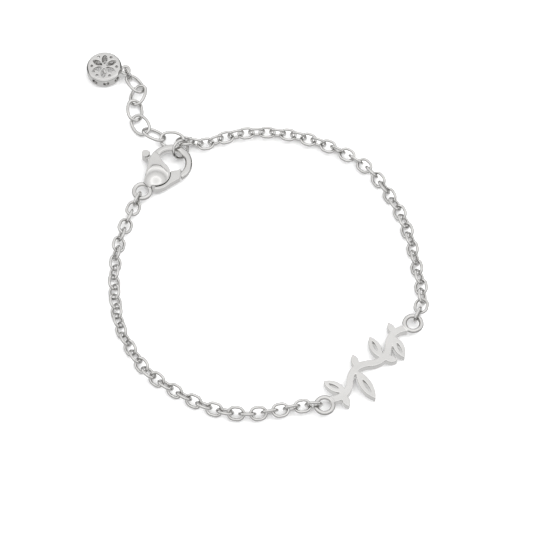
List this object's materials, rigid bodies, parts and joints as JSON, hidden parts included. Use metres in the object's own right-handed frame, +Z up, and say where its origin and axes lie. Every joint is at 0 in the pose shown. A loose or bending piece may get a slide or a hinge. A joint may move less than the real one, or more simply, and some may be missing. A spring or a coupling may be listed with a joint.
{
  "type": "nameplate bracelet",
  "caption": "Polished silver chain bracelet with a pierced openwork plate, a lobster clasp with a sprung lever, and a short extender ending in a small openwork charm.",
  "frame": {"origin": "middle of the wrist opening, on the surface that the bracelet lies on", "axes": "+Z up through the wrist opening, +X to the right and +Y away from the viewer of the lying bracelet"},
  "size_m": [0.061, 0.0733, 0.0033],
  "materials": {
    "polished_silver": "polished sterling silver"
  },
  "bodies": {
    "bracelet": {"chain_left": "polished_silver", "chain_right": "polished_silver", "nameplate": "polished_silver", "clasp_body": "polished_silver", "join_ring": "polished_silver", "hook_ring": "polished_silver", "extender_link_1": "polished_silver", "extender_link_2": "polished_silver", "extender_link_3": "polished_silver", "extender_link_4": "polished_silver", "extender_link_5": "polished_silver", "extender_link_6": "polished_silver", "charm_ring": "polished_silver", "charm": "polished_silver"},
    "lever": {"clasp_lever": "polished_silver"}
  },
  "joints": [
    {"name": "clasp_lever_hinge", "type": "hinge", "parent": "bracelet", "child": "lever", "pos_m": [-0.01974, 0.01776, 0.0013], "axis": [0, 0, 1], "range_deg": [0, 24], "stiffness_Nm_per_rad": 0.003}
  ]
}
